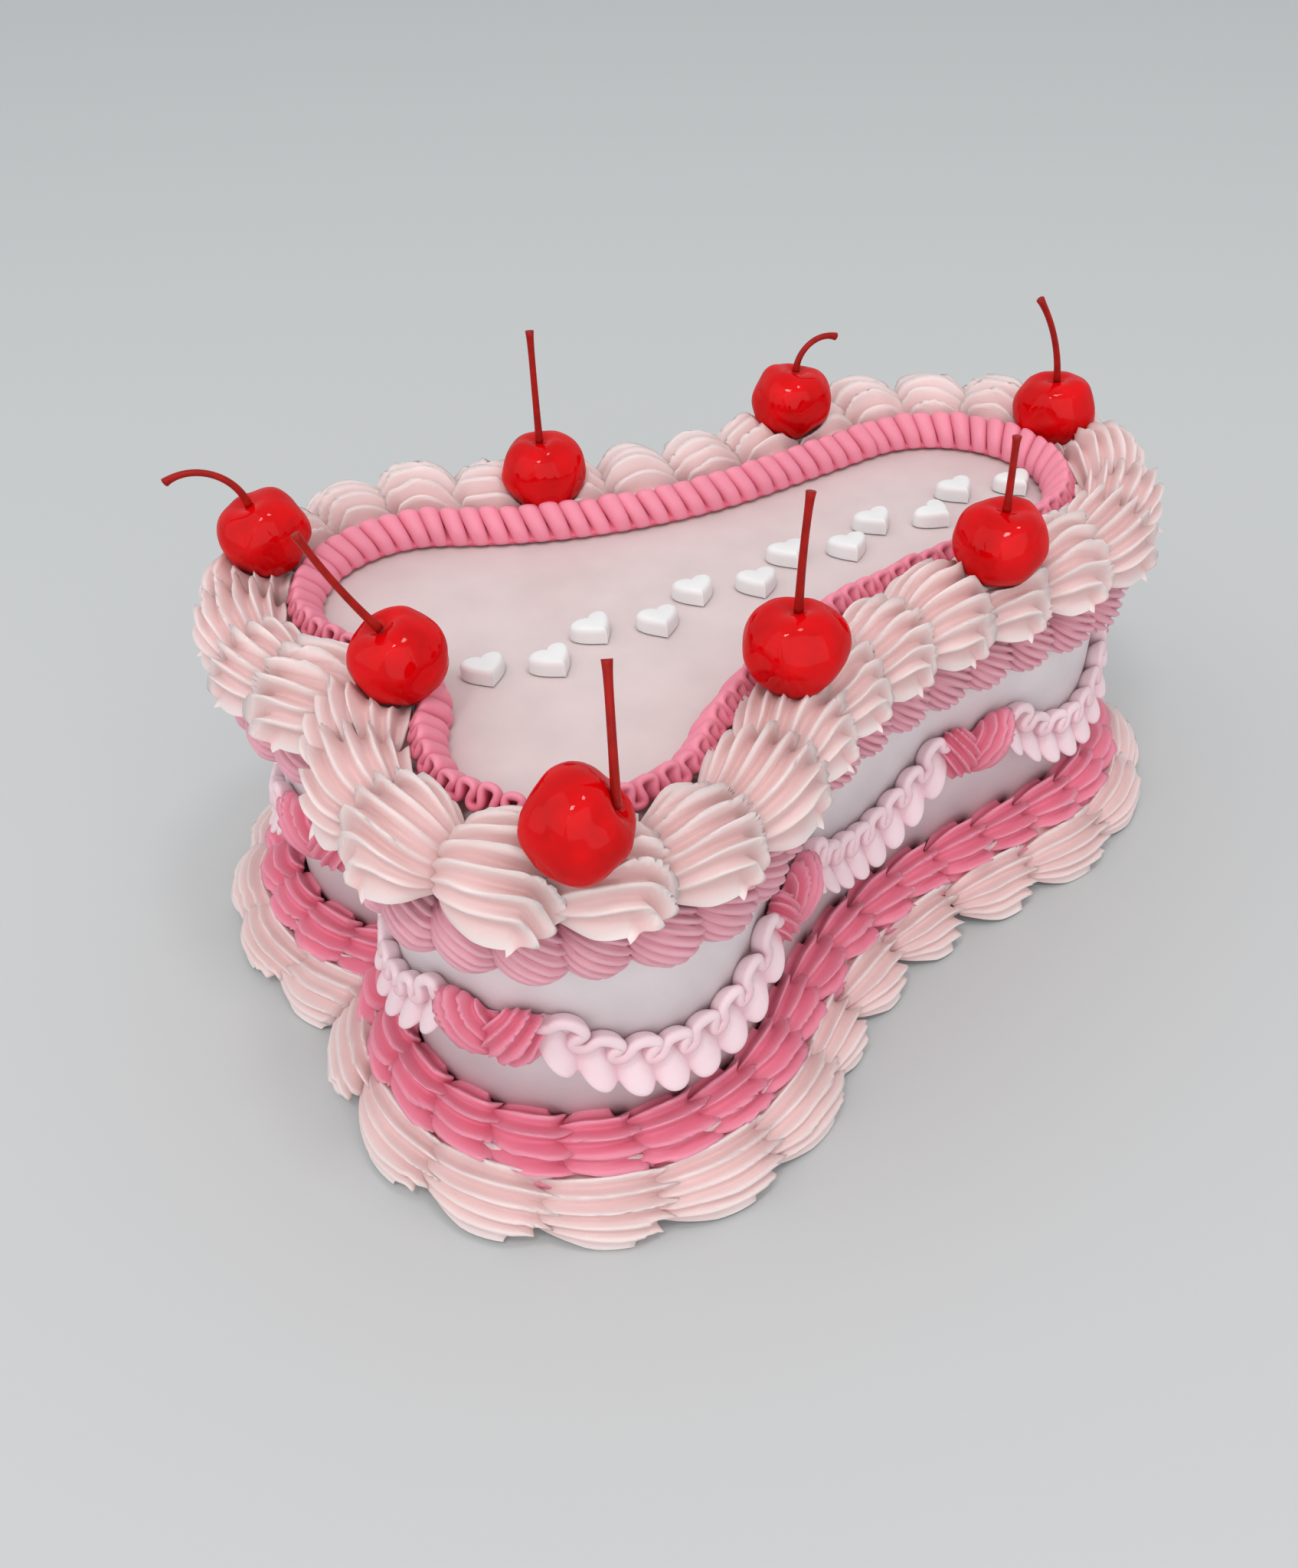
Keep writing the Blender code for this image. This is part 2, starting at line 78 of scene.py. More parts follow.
# A row of shells: how many, their style, the grid of each, the offset and height at which
# it runs, how far it tilts outwards, the offset at which it is evenly spaced, how far its
# shells dip, how far from the notch the piping turns round, and how far heads drift
Row = namedtuple("Row", "count style columns rows centre tilt measure dip turn drift",
                 defaults=(0.0, 0.0, 0.0))
RIM_ROW = Row(
    count=33,
    style=Style(ribs=9, bladed=True, tail_girth=0.24, length=0.0278, half_width=0.0150,
                height=0.0220, reach=0.0142, groove=0.32),
    columns=81, rows=32,
    centre=(-0.0006, 0.0968), tilt=math.radians(12), measure=-0.0006, turn=0.0640, drift=0.7,
)
SIDE_ROW = Row(
    count=48,
    style=Style(ribs=10, bladed=False, tail_girth=0.16, length=0.0188, half_width=0.0090,
                height=0.0092, reach=0.0092, groove=0.34),
    columns=50, rows=24,
    centre=(0.0002, 0.0864), tilt=math.pi / 2, measure=0.004, dip=math.radians(-32),
)
FOOT_UPPER_ROW = Row(
    count=43,
    style=Style(ribs=6, bladed=True, tail_girth=0.30, length=0.0226, half_width=0.0104,
                height=0.0122, reach=0.0100, groove=0.42),
    columns=54, rows=22,
    centre=(0.0042, 0.0142), tilt=math.radians(56), measure=0.005,
)
FOOT_LOWER_ROW = Row(
    count=28,
    style=Style(ribs=9, bladed=True, tail_girth=0.26, length=0.0340, half_width=0.0140,
                height=0.0106, reach=0.0150, groove=0.36),
    columns=72, rows=26,
    centre=(0.0128, 0.0062), tilt=math.radians(24), measure=0.012,
)

# How every shell is piped: the share of its length where the girth is full, how far the
# section planes lean from tail to head, where its tip starts and how far it is tucked in,
# how round its sections and flanks are, and how deep its hollows are at the tail
SHELL_OPENS = 0.46
TAIL_LEAN = math.radians(-35)
HEAD_LEAN = math.radians(93)
TIP_STARTS = 0.80
TIP_TUCK = 0.55
SECTION_ROUNDING = 0.8
FLANK_ROUNDING = 0.55
FLANK_TAPER = 0.12
TAIL_HOLLOW = 0.6

# Ribs: the share of a rib's width at which a blade's hollow is lowest, how steep its two
# slopes are, how far a rib strays, and how often across and along the shell
RIB_SKEW = 0.34
STEEP_SLOPE = 0.7
GENTLE_SLOPE = 0.9
RIB_STRAIN = 0.9
STRAIN_ACROSS = 5
STRAIN_ALONG = 1.5

# What differs from shell to shell: its tilt, its scale, its place in the noise, and the
# scale and depth of the wobble of its surface
TILT_VARIES = 0.05
LEAST_SCALE = 0.96
MOST_SCALE = 1.05
NOISE_RANGE = 50
WOBBLE_SCALE = 90
WOBBLE_SHARE = 0.045

# Where along a shell its drift is nil, how fast the painted shade at its tail fades, and the
# gap that stays between a shell and the floor
DRIFT_PIVOT = 0.3
TAIL_PAINTED_SHADE = 3
FLOOR_GAP = 0.0003

# A folded ribbon: the points in a fold, how high its folds swing at the held edge and at
# the free edge, how much wider a crest is than a trough, how far both are pinched at the
# neck, the length and thickness of the ribbon, how much longer a crest hangs than a
# trough, and how far a crest leans
Ribbon = namedtuple("Ribbon", "steps swing_held swing_free crest pinch length thickness "
                    "scallop lean", defaults=(0.0, 0.0))
RUFFLE = Ribbon(steps=14, swing_held=0.0030, swing_free=0.0062, crest=0.05, pinch=0.17,
                length=0.0104, thickness=0.0021)
LOOPS = Ribbon(steps=16, swing_held=0.0046, swing_free=0.0056, crest=0.10, pinch=0.15,
               length=0.0054, thickness=0.0029, lean=0.30)
SKIRT = Ribbon(steps=12, swing_held=0.0004, swing_free=0.0020, crest=0.13, pinch=0.02,
               length=0.0106, thickness=0.0014, scallop=0.30)

# Every ribbon: its rows from edge to edge and how they crowd to the held edge, the share
# over which the held swing sets in, how its folds stray and swell, and how the painted shade in its
# troughs fades
RIBBON_ROWS = 6
ROWS_CROWD = 1.4
HELD_SHARE = 0.25
SHIFT_GROWS = 0.6
UNEVEN_SWING = 0.22
UNEVEN_LEAN = 0.10
SWELL_SCALE = 0.9
SWELL_APART = 900
SWAY_SCALE = 1.3
SWAY_APART = 7
TROUGH_PAINTED_SHADE_FADES = 0.4

# The ruffle inside the rim: how many folds, the offset where they are evenly spaced, its
# held edge, and how far its fingers run outwards, upwards and along
RUFFLE_FOLDS = 106
RUFFLE_MEASURE = -0.0155
RUFFLE_OFFSET = -0.0197
RUFFLE_LIFT = 0.0008
RUFFLE_OUT = 0.0082
RUFFLE_RISE = 0.0050
RUFFLE_SLANT = 0.0040

# Drops and swags on the wall: how many, the distances of the first and the last, the
# height of their feet, their half spread, how far each of a pair stands off the wall
DROPS = 8
DROP_FIRST = 0.0700
DROP_LAST = 0.6840
DROP_FOOT = 0.0435
DROP_SPREAD = math.radians(33)
DROP_SEATS = (0.0004, 0.0010)
DROP_COLUMNS = 56
DROP_ROWS = 26
DROP_STYLE = Style(ribs=7, bladed=True, tail_girth=0.14, length=0.0240, half_width=0.0080,
                   height=0.0094, reach=0.0140, groove=0.34)

# Swags: the gap to the drop at each end, their level there, their dip and their loops
SWAG_END_GAP = 0.0110
SWAG_LEVEL = 0.0610
SWAG_DIP = 0.0165
SWAG_LOOPS = 8

# How a swag's ribbon hangs: how far its fingers run outwards and upwards, the offset of its
# held edge from the wall, and how far that edge sinks below the swag's line
Hang = namedtuple("Hang", "out rise offset sink")
LOOPS_HANG = Hang(out=1.0, rise=0.25, offset=0.0006, sink=0.0034)
SKIRT_HANG = Hang(out=0.42, rise=-1.0, offset=0.0014, sink=0.0020)

# Cherries: size and shape, then the middle of each, then its lean and heading in degrees
CHERRY_RADIUS = 0.0121
CHERRY_GAP = 0.0002
CHERRY_SIDES = 64
CHERRY_RINGS = 40
CHERRY_DIMPLE = 0.30
DIMPLE_POWER = 9
CHERRY_SQUASH = 0.04
BROAD_DENT = 0.08
BROAD_DENT_SCALE = 1.5
FINE_DENT = 0.014
FINE_DENT_SCALE = 3.5
DENTS_APART = 7.3
CHERRY_PLACES = (
    (-0.0677, 0.0682, 0.1185),
    (-0.0636, -0.0078, 0.1180),
    (-0.0605, -0.0857, 0.1195),
    (0.0104, -0.0637, 0.1220),
    (0.0845, -0.0535, 0.1190),
    (0.1620, 0.0024, 0.1138),
    (0.0965, 0.0495, 0.1180),
    (0.0135, 0.0587, 0.1160),
)
CHERRY_LEANS = ((15, 160), (20, 160), (65, -30), (5, 20), (3, 0), (4, 150), (12, 10), (3, 150))
# Stems: lean and heading where each leaves its cherry, then its length and bend in degrees
STEMS = (
    (10, 160, 0.0255, 112),
    (34, 155, 0.0300, -12),
    (4, 60, 0.0305, 30),
    (2, 20, 0.0285, 10),
    (0, 0, 0.0200, 0),
    (6, 165, 0.0285, 30),
    (4, -10, 0.0185, 112),
    (2, 60, 0.0315, 6),
)
STEM_RADIUS = 0.0009
STEM_STEPS = 24
STEM_SIDES = 10
STEM_LIFT = 0.0001
ROOT_FLARE = 0.25
TIP_FLARE = 0.35

# White fondant hearts along the top: how many, their size, how far and in how many steps
# the top edge is rounded, where the rounding starts, and how far a heart may be turned
HEARTS = 12
HEART_SIZE = 0.0115
HEART_THICK = 0.0045
HEART_ROUNDING = 0.30
HEART_CORNERS = 48
HEART_ROUNDS = 5
HEART_SHOULDER = 0.6
HEART_RISE = 0.12
HEART_TURN = 0.3

# Colours, as linear red, green and blue, and the painted shade tints that hollows, the troughs of
# folds and the tails of shells are multiplied by
TOP_COLOUR = (0.66, 0.545, 0.535)
# Painted light: the wall is the top's icing, painted paler and cooler to stand in for cool light
# bounced onto the wall.
WALL_PAINTED_LIGHT_COLOUR = (0.74, 0.67, 0.685)
PALE_COLOUR = (0.79, 0.69, 0.67)
PALE_PAINTED_SHADE = (0.92, 0.68, 0.68)
MIDDLE_COLOUR = (0.73, 0.36, 0.43)
ROSE_COLOUR = (0.79, 0.25, 0.34)
ROSE_PAINTED_SHADE = (0.86, 0.42, 0.52)
DEEP_COLOUR = (0.81, 0.295, 0.395)
DEEP_PAINTED_SHADE = (0.88, 0.5, 0.58)
SWAG_COLOUR = (0.83, 0.63, 0.67)
SWAG_PAINTED_SHADE = (0.92, 0.70, 0.74)
MIDDLE_PAINTED_SHADE = (0.88, 0.58, 0.62)
FONDANT_COLOUR = (0.76, 0.76, 0.75)
CHERRY_DARK = (0.48, 0.0005, 0.001, 1)
CHERRY_BRIGHT = (0.68, 0.001, 0.003, 1)
STEM_DARK = (0.16, 0.006, 0.004, 1)
STEM_BRIGHT = (0.46, 0.010, 0.006, 1)
FLOOR_COLOUR = (0.53, 0.54, 0.535)
ROOM_COLOUR = (0.95, 0.97, 1.0)

# Sizes of the icing's pattern, as noise scales, and the depth of its bump
BROAD_SCALE = 60
FINE_SCALE = 1400
PORE_SCALE = 420
ICING_BUMP = 0.0002

# The setting: the floor's half size, the room's light, and each lamp's place, size and power
FLOOR_HALF_SIZE = 6
ROOM_STRENGTH = 0.76
LAMP_AIM = (0.03, 0, 0.06)
LAMPS = (
    ("window", (-1.9, 0.1, 1.5), 3.0, 16),
    ("fill", (-0.6, -2.1, 0.9), 3.0, 22),
    ("glint", (-0.55, -0.45, 1.5), 0.22, 3.5),
    ("second_glint", (0.25, -0.35, 1.5), 0.22, 2.5),
)

# The camera, as fitted to the photograph: its place, its turn in degrees, its lens and
# sensor in millimetres, and the nearest distance that it sees
CAMERA_PLACE = (-0.155977, -0.270037, 0.298259)
CAMERA_TURN = (50.67, 2.171, -33.09)
CAMERA_LENS = 31.758
SENSOR_WIDTH = 36
NEAR_CLIP = 0.01

# Steps in which the wall is measured, and a length that counts as nothing
WALL_SAMPLES = 900
TINY = 1e-9
UP = Vector((0, 0, 1))
SEED = 5
rng = random.Random(SEED)
noise.seed_set(SEED)


# The wall, and places beside it


def half_plan(offset):
    """Arcs of half the plan: middle, radius, first and last angle, and which way is out."""
    lobe = LOBE_RADIUS + offset
    notch = max(NOTCH_RADIUS - offset, NOTCH_RADIUS_LEAST)
    notch_x = LOBE_X - math.sqrt((lobe + notch) ** 2 - LOBE_Y ** 2)
    waist_y = SHAFT_HALF_WIDTH + WAIST_RADIUS
    reach = LOBE_RADIUS + WAIST_RADIUS
    waist_x = LOBE_X + math.sqrt(reach ** 2 - (waist_y - LOBE_Y) ** 2)
    to_lobe = math.atan2(LOBE_Y, LOBE_X - notch_x)
    to_waist = math.atan2(waist_y - LOBE_Y, waist_x - LOBE_X)
    return (
        (notch_x, 0, notch, 0, to_lobe, -1),
        (LOBE_X, LOBE_Y, lobe, to_lobe + math.pi, to_waist, 1),
        (waist_x, waist_y, WAIST_RADIUS - offset, to_waist + math.pi, 1.5 * math.pi, -1),
        (waist_x, TIP_X, SHAFT_HALF_WIDTH + offset, None, None, 1),
        (TIP_X, 0, SHAFT_HALF_WIDTH + offset, math.pi / 2, 0, 1),
    )


def arc_length(arc):
    """Length of one arc, or of the straight side of the shaft."""
    first, second, radius, start, end, _ = arc
    if start is None:
        return second - first
    return radius * abs(end - start)


ARC_LENGTHS = [arc_length(arc) for arc in half_plan(0)]
HALF_LENGTH = sum(ARC_LENGTHS)


def place(distance, offset=0.0):
    """The point at a distance along the wall and an offset from it, and the way out."""
    distance %= 2 * HALF_LENGTH
    mirror = -1 if distance < HALF_LENGTH else 1
    left = min(distance, 2 * HALF_LENGTH - distance, HALF_LENGTH - TINY)
    for arc, length in zip(half_plan(offset), ARC_LENGTHS):
        if left <= length:
            break
        left -= length
    share = min(left / length, 1)
    first, second, radius, start, end, out = arc
    if start is None:
        return Vector((first + (second - first) * share, mirror * radius, 0)), Vector((0, mirror, 0))
    angle = start + (end - start) * share
    ray = Vector((math.cos(angle), mirror * math.sin(angle), 0))
    return Vector((first, mirror * second, 0)) + ray * radius, ray * out


def even_distances(offset, count):
    """Distances along the wall that are evenly spaced when measured at an offset."""
    marks = [2 * HALF_LENGTH * index / WALL_SAMPLES for index in range(WALL_SAMPLES + 1)]
    points = [place(mark, offset)[0] for mark in marks]
    lengths = [0.0]
    for here, after in zip(points, points[1:]):
        lengths.append(lengths[-1] + (after - here).length)
    spaced = []
    index = 0
    for step in range(count):
        wanted = lengths[-1] * step / count
        while lengths[index + 1] < wanted:
            index += 1
        share = (wanted - lengths[index]) / max(lengths[index + 1] - lengths[index], TINY)
        spaced.append(marks[index] + (marks[index + 1] - marks[index]) * share)
    return spaced


def on_cake(distance, offset, height):
    """A point in space from its place beside the wall."""
    return place(distance, offset)[0] + UP * height


# Materials


def shader_group(name, inputs, outputs):
    """A new node group with named sockets, and its two end nodes."""
    group = bpy.data.node_groups.new(name, "ShaderNodeTree")
    for label, kind in inputs:
        group.interface.new_socket(label, in_out="INPUT", socket_type=kind)
    for label, kind in outputs:
        group.interface.new_socket(label, in_out="OUTPUT", socket_type=kind)
    return group, group.nodes.new("NodeGroupInput"), group.nodes.new("NodeGroupOutput")


def map_range(nodes, to_least, to_most, from_least=0.0, from_most=1.0):
    """A node that carries one range of numbers over to another."""
    node = nodes.new("ShaderNodeMapRange")
    node.inputs["From Min"].default_value = from_least
    node.inputs["From Max"].default_value = from_most
    node.inputs["To Min"].default_value = to_least
    node.inputs["To Max"].default_value = to_most
    return node


def new_look(name):
    """A new material, its nodes and links, and its shader."""
    look = bpy.data.materials.new(name)
    look.use_nodes = True
    nodes = look.node_tree.nodes
    return look, nodes, look.node_tree.links, nodes["Principled BSDF"]


def icing_surface():
    """Shared look of buttercream: small shifts of tone, painted shade where the hollow attribute is
    high, and a bump of fine pores and marks.
    """
    group, start, end = shader_group(
        "icing_surface",
        (("Colour", "NodeSocketColor"), ("Painted Shade Tint", "NodeSocketColor"),
         ("Pores", "NodeSocketFloat"), ("Drag", "NodeSocketFloat")),
        (("Colour", "NodeSocketColor"), ("Height", "NodeSocketFloat"),
         ("Roughness", "NodeSocketFloat")),
    )
    nodes, links = group.nodes, group.links
    where = nodes.new("ShaderNodeTexCoord")
    broad = nodes.new("ShaderNodeTexNoise")
    broad.inputs["Scale"].default_value = BROAD_SCALE
    broad.inputs["Detail"].default_value = 3
    fine = nodes.new("ShaderNodeTexNoise")
    fine.inputs["Scale"].default_value = FINE_SCALE
    fine.inputs["Detail"].default_value = 2
    cells = nodes.new("ShaderNodeTexVoronoi")
    cells.inputs["Scale"].default_value = PORE_SCALE
    for texture in (broad, fine, cells):
        links.new(where.outputs["Object"], texture.inputs["Vector"])
    tone = map_range(nodes, 0.94, 1.03, from_least=0.3, from_most=0.7)
    links.new(broad.outputs["Fac"], tone.inputs["Value"])
    shade = nodes.new("ShaderNodeVectorMath")
    shade.operation = "SCALE"
    links.new(start.outputs["Colour"], shade.inputs["Vector"])
    links.new(tone.outputs["Result"], shade.inputs["Scale"])
    # Painted shade: the hollow attribute marks hollows, troughs and tails, where the colour is
    # multiplied by a darker tint.
    hollow = nodes.new("ShaderNodeAttribute")
    hollow.attribute_name = "hollow"
    painted_shade_colour = nodes.new("ShaderNodeVectorMath")
    painted_shade_colour.operation = "MULTIPLY"
    links.new(shade.outputs["Vector"], painted_shade_colour.inputs[0])
    links.new(start.outputs["Painted Shade Tint"], painted_shade_colour.inputs[1])
    with_painted_shade = nodes.new("ShaderNodeMix")
    with_painted_shade.data_type = "RGBA"
    links.new(hollow.outputs["Fac"], with_painted_shade.inputs["Factor"])
    links.new(shade.outputs["Vector"], with_painted_shade.inputs["A"])
    links.new(painted_shade_colour.outputs["Vector"], with_painted_shade.inputs["B"])
    links.new(with_painted_shade.outputs["Result"], end.inputs["Colour"])
    holes = map_range(nodes, -1.0, 0.0, from_most=0.22)
    links.new(cells.outputs["Distance"], holes.inputs["Value"])
    pits = nodes.new("ShaderNodeMath")
    pits.operation = "MULTIPLY"
    links.new(holes.outputs["Result"], pits.inputs[0])
    links.new(start.outputs["Pores"], pits.inputs[1])
    marks = nodes.new("ShaderNodeMath")
    marks.operation = "MULTIPLY_ADD"
    links.new(fine.outputs["Fac"], marks.inputs[0])
    links.new(start.outputs["Drag"], marks.inputs[1])
    links.new(pits.outputs["Value"], marks.inputs[2])
    links.new(marks.outputs["Value"], end.inputs["Height"])
    gloss = map_range(nodes, 0.40, 0.58)
    links.new(broad.outputs["Fac"], gloss.inputs["Value"])
    links.new(gloss.outputs["Result"], end.inputs["Roughness"])
    return group


ICING = icing_surface()


def icing(name, colour, painted_shade=MIDDLE_PAINTED_SHADE, pores=0.25, drag=0.5):
    """Buttercream or fondant in one colour, darkened by painted shade where a piece marks its
    hollows.
    """
    look, nodes, links, shader = new_look(name)
    shader.inputs["Subsurface Weight"].default_value = 0.12
    shader.inputs["Subsurface Radius"].default_value = (0.004, 0.002, 0.0015)
    shader.inputs["Subsurface Scale"].default_value = 1.0
    shader.inputs["Coat Weight"].default_value = 0.06
    surface = nodes.new("ShaderNodeGroup")
    surface.name = "icing"
    surface.node_tree = ICING
    surface.inputs["Colour"].default_value = (*colour, 1)
    surface.inputs["Painted Shade Tint"].default_value = (*painted_shade, 1)
    surface.inputs["Pores"].default_value = pores
    surface.inputs["Drag"].default_value = drag
    bump = nodes.new("ShaderNodeBump")
    bump.inputs["Distance"].default_value = ICING_BUMP
    bump.inputs["Strength"].default_value = 0.6
    links.new(surface.outputs["Colour"], shader.inputs["Base Color"])
    links.new(surface.outputs["Roughness"], shader.inputs["Roughness"])
    links.new(surface.outputs["Height"], bump.inputs["Height"])
    links.new(bump.outputs["Normal"], shader.inputs["Normal"])
    return look


def cake_look():
    """Smooth icing, warm on the top and painted a cooler, paler white down the wall, as painted
    light.
    """
    look = icing("cake_icing_smooth", TOP_COLOUR, pores=0.05, drag=0.3)
    nodes, links = look.node_tree.nodes, look.node_tree.links
    where = nodes.new("ShaderNodeTexCoord")
    parts = nodes.new("ShaderNodeSeparateXYZ")
    links.new(where.outputs["Object"], parts.inputs["Vector"])
    level = map_range(nodes, 0.0, 1.0, CAKE_HEIGHT - 2 * TOP_EDGE_RADIUS, CAKE_HEIGHT)
    links.new(parts.outputs["Z"], level.inputs["Value"])
    # Painted light: the top's icing is painted paler and cooler down the wall.
    painted_wall_light = nodes.new("ShaderNodeMix")
    painted_wall_light.data_type = "RGBA"
    painted_wall_light.inputs["A"].default_value = (*WALL_PAINTED_LIGHT_COLOUR, 1)
    painted_wall_light.inputs["B"].default_value = (*TOP_COLOUR, 1)
    links.new(level.outputs["Result"], painted_wall_light.inputs["Factor"])
    links.new(painted_wall_light.outputs["Result"], nodes["icing"].inputs["Colour"])
    return look


def cherry_skin():
    """Syrupy red skin: deep colour, darker in patches, with soft dents."""
    look, nodes, links, shader = new_look("cherry_skin_glossy")
    shader.inputs["Roughness"].default_value = 0.12
    shader.inputs["Specular IOR Level"].default_value = 0.0
    shader.inputs["Coat Weight"].default_value = 0.35
    shader.inputs["Coat Roughness"].default_value = 0.05
    where = nodes.new("ShaderNodeTexCoord")
    patches = nodes.new("ShaderNodeTexNoise")
    patches.inputs["Scale"].default_value = 110
    patches.inputs["Detail"].default_value = 3
    links.new(where.outputs["Object"], patches.inputs["Vector"])
    ramp = nodes.new("ShaderNodeValToRGB")
    ramp.color_ramp.elements[0].position = 0.3
    ramp.color_ramp.elements[0].color = CHERRY_DARK
    ramp.color_ramp.elements[1].position = 0.7
    ramp.color_ramp.elements[1].color = CHERRY_BRIGHT
    links.new(patches.outputs["Fac"], ramp.inputs["Fac"])
    links.new(ramp.outputs["Color"], shader.inputs["Base Color"])
    bump = nodes.new("ShaderNodeBump")
    bump.inputs["Distance"].default_value = 0.0012
    bump.inputs["Strength"].default_value = 0.5
    links.new(patches.outputs["Fac"], bump.inputs["Height"])
    links.new(bump.outputs["Normal"], shader.inputs["Normal"])
    return look


def stem_skin():
    """Red-brown stem with fine streaks."""
    look, nodes, links, shader = new_look("stem_red_brown")
    shader.inputs["Roughness"].default_value = 0.35
    shader.inputs["Specular IOR Level"].default_value = 0.15
    where = nodes.new("ShaderNodeTexCoord")
    streaks = nodes.new("ShaderNodeTexNoise")
    streaks.inputs["Scale"].default_value = 300
    links.new(where.outputs["Object"], streaks.inputs["Vector"])
    ramp = nodes.new("ShaderNodeValToRGB")
    ramp.color_ramp.elements[0].color = STEM_DARK
    ramp.color_ramp.elements[1].color = STEM_BRIGHT
    links.new(streaks.outputs["Fac"], ramp.inputs["Fac"])
    links.new(ramp.outputs["Color"], shader.inputs["Base Color"])
    return look


# Pieces


def finish_piece(shape, name, look, nodes):
    """Turn a bmesh into a piece of the object that stands for some nodes."""
    mesh = bpy.data.meshes.new(name)
    shape.to_mesh(mesh)
    shape.free()
    mesh.materials.append(look)
    mesh.shade_smooth()
    piece = bpy.data.objects.new(name, mesh)
    bpy.context.scene.collection.objects.link(piece)
    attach(piece, "root")
    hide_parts(*nodes)
    return piece


def cake_body(look):
    """The iced cake with its slightly rounded top edge."""
    shape = bmesh.new()
    made = bmesh.ops.create_circle(shape, cap_ends=True, segments=WALL_CORNERS, radius=1)["verts"]
    for vert, distance in zip(made, even_distances(0.0, WALL_CORNERS)):
        vert.co = place(distance)[0]
    raised = bmesh.ops.extrude_face_region(shape, geom=shape.faces[:])["geom"]
    lifted = [item for item in raised if isinstance(item, bmesh.types.BMVert)]
    bmesh.ops.translate(shape, verts=lifted, vec=(0, 0, CAKE_HEIGHT))
    rim = [edge for edge in shape.edges if all(vert in lifted for vert in edge.verts)]
    bmesh.ops.bevel(shape, geom=rim, offset=TOP_EDGE_RADIUS, offset_type="OFFSET",
                    affect="EDGES", segments=3, profile=0.5, material=-1)
    bmesh.ops.recalc_face_normals(shape, faces=shape.faces)
    finish_piece(shape, "cake_icing", look, ["cake_body"])


def rib_hollow(across, ribs, bladed):
    """How deep the hollow beside a rib is: 0 on a crest, 1 at the bottom of a hollow."""
    step = ribs * across % 1
    if not bladed:
        return (1 - math.sin(math.pi * step)) ** 2
    if step < RIB_SKEW:
        return math.sin(math.pi / 2 * step / RIB_SKEW) ** STEEP_SLOPE
    return math.cos(math.pi / 2 * (step - RIB_SKEW) / (1 - RIB_SKEW)) ** GENTLE_SLOPE


def shell_surface(along, hollow, across, style):
    """A point on a piped shell: x towards its head, y across, z off what it lies on.

    Along runs from the tail, over the crest, to the foot of the head, on section planes
    that turn about a hinge. Ribs run with it: thin blades between wide hollows, or wide
    bands between thin grooves.
    """
    _, _, tail_girth, length, half_width, height, reach, groove = style
    opened = min(along / SHELL_OPENS, 1)
    lean = TAIL_LEAN + (HEAD_LEAN - TAIL_LEAN) * along
    girth = tail_girth + (1 - tail_girth) * math.sin(opened * math.pi / 2)
    tucked = max(0, (along - TIP_STARTS) / (1 - TIP_STARTS)) ** 2
    girth *= 1 - TIP_TUCK * tucked
    girth *= 1 - groove * hollow * (TAIL_HOLLOW + (1 - TAIL_HOLLOW) * opened) * (1 - tucked)
    sweep = math.pi * across
    stretch = 1 / math.hypot(math.cos(lean) / height, math.sin(lean) / reach)
    rise = stretch * girth * math.sin(sweep) ** SECTION_ROUNDING
    taper = 1 - FLANK_TAPER * abs(math.sin(lean))
    sideways = -half_width * math.cos(sweep) * girth ** FLANK_ROUNDING * taper
    return Vector(((length - reach) * opened + rise * math.sin(lean), sideways,
                   max(rise * math.cos(lean), 0)))


def clear_of_cherries(point):
    """Press a point down under any cherry that it would lie in."""
    for middle in CHERRY_PLACES:
        way = point - Vector(middle)
        side = math.hypot(way.x, way.y)
        room = CHERRY_RADIUS + CHERRY_GAP
        below = math.sqrt(max(room ** 2 - side ** 2, 0))
        if side < room and way.z > -below:
            return Vector((point.x, point.y, middle[2] - below))
    return point


def add_shell(shape, style, columns, rows, to_place, drift=0.0):
    """Add one ribbed shell to a bmesh, each point put in place by a function.

    The painted shade of its rib hollows and its tail is kept as an attribute, which darkens its
    icing.
    """
    painted_shade_layer = shape.verts.layers.float.get("hollow") or shape.verts.layers.float.new("hollow")
    made = bmesh.ops.create_grid(shape, x_segments=rows, y_segments=columns, size=1)["verts"]
    seed = Vector((rng.uniform(0, NOISE_RANGE), 0, 0))
    for vert in made:
        along = (vert.co.x + 1) / 2
        across = min(max((vert.co.y + 1) / 2, 0), 1)
        spot = seed + Vector((across * STRAIN_ACROSS, along * STRAIN_ALONG, 0))
        strain = noise.noise(spot) * RIB_STRAIN
        across = across + strain * math.sin(across * math.pi) / style.ribs
        hollow = rib_hollow(across, style.ribs, style.bladed)
        point = shell_surface(along, hollow, across, style)
        past = along - DRIFT_PIVOT
        point.y += drift * style.half_width * past * abs(past)
        wobble = noise.noise_vector(point * WOBBLE_SCALE + seed)
        vert.co = clear_of_cherries(to_place(point + wobble * style.height * WOBBLE_SHARE))
        vert.co.z = max(vert.co.z, FLOOR_GAP)
        # Painted shade: darkest in the rib hollows and at the tail, kept for the icing's tint.
        vert[painted_shade_layer] = max(hollow, 1 - TAIL_PAINTED_SHADE * along, 0)
    faces = {face for vert in made for face in vert.link_faces}
    bmesh.ops.recalc_face_normals(shape, faces=list(faces))


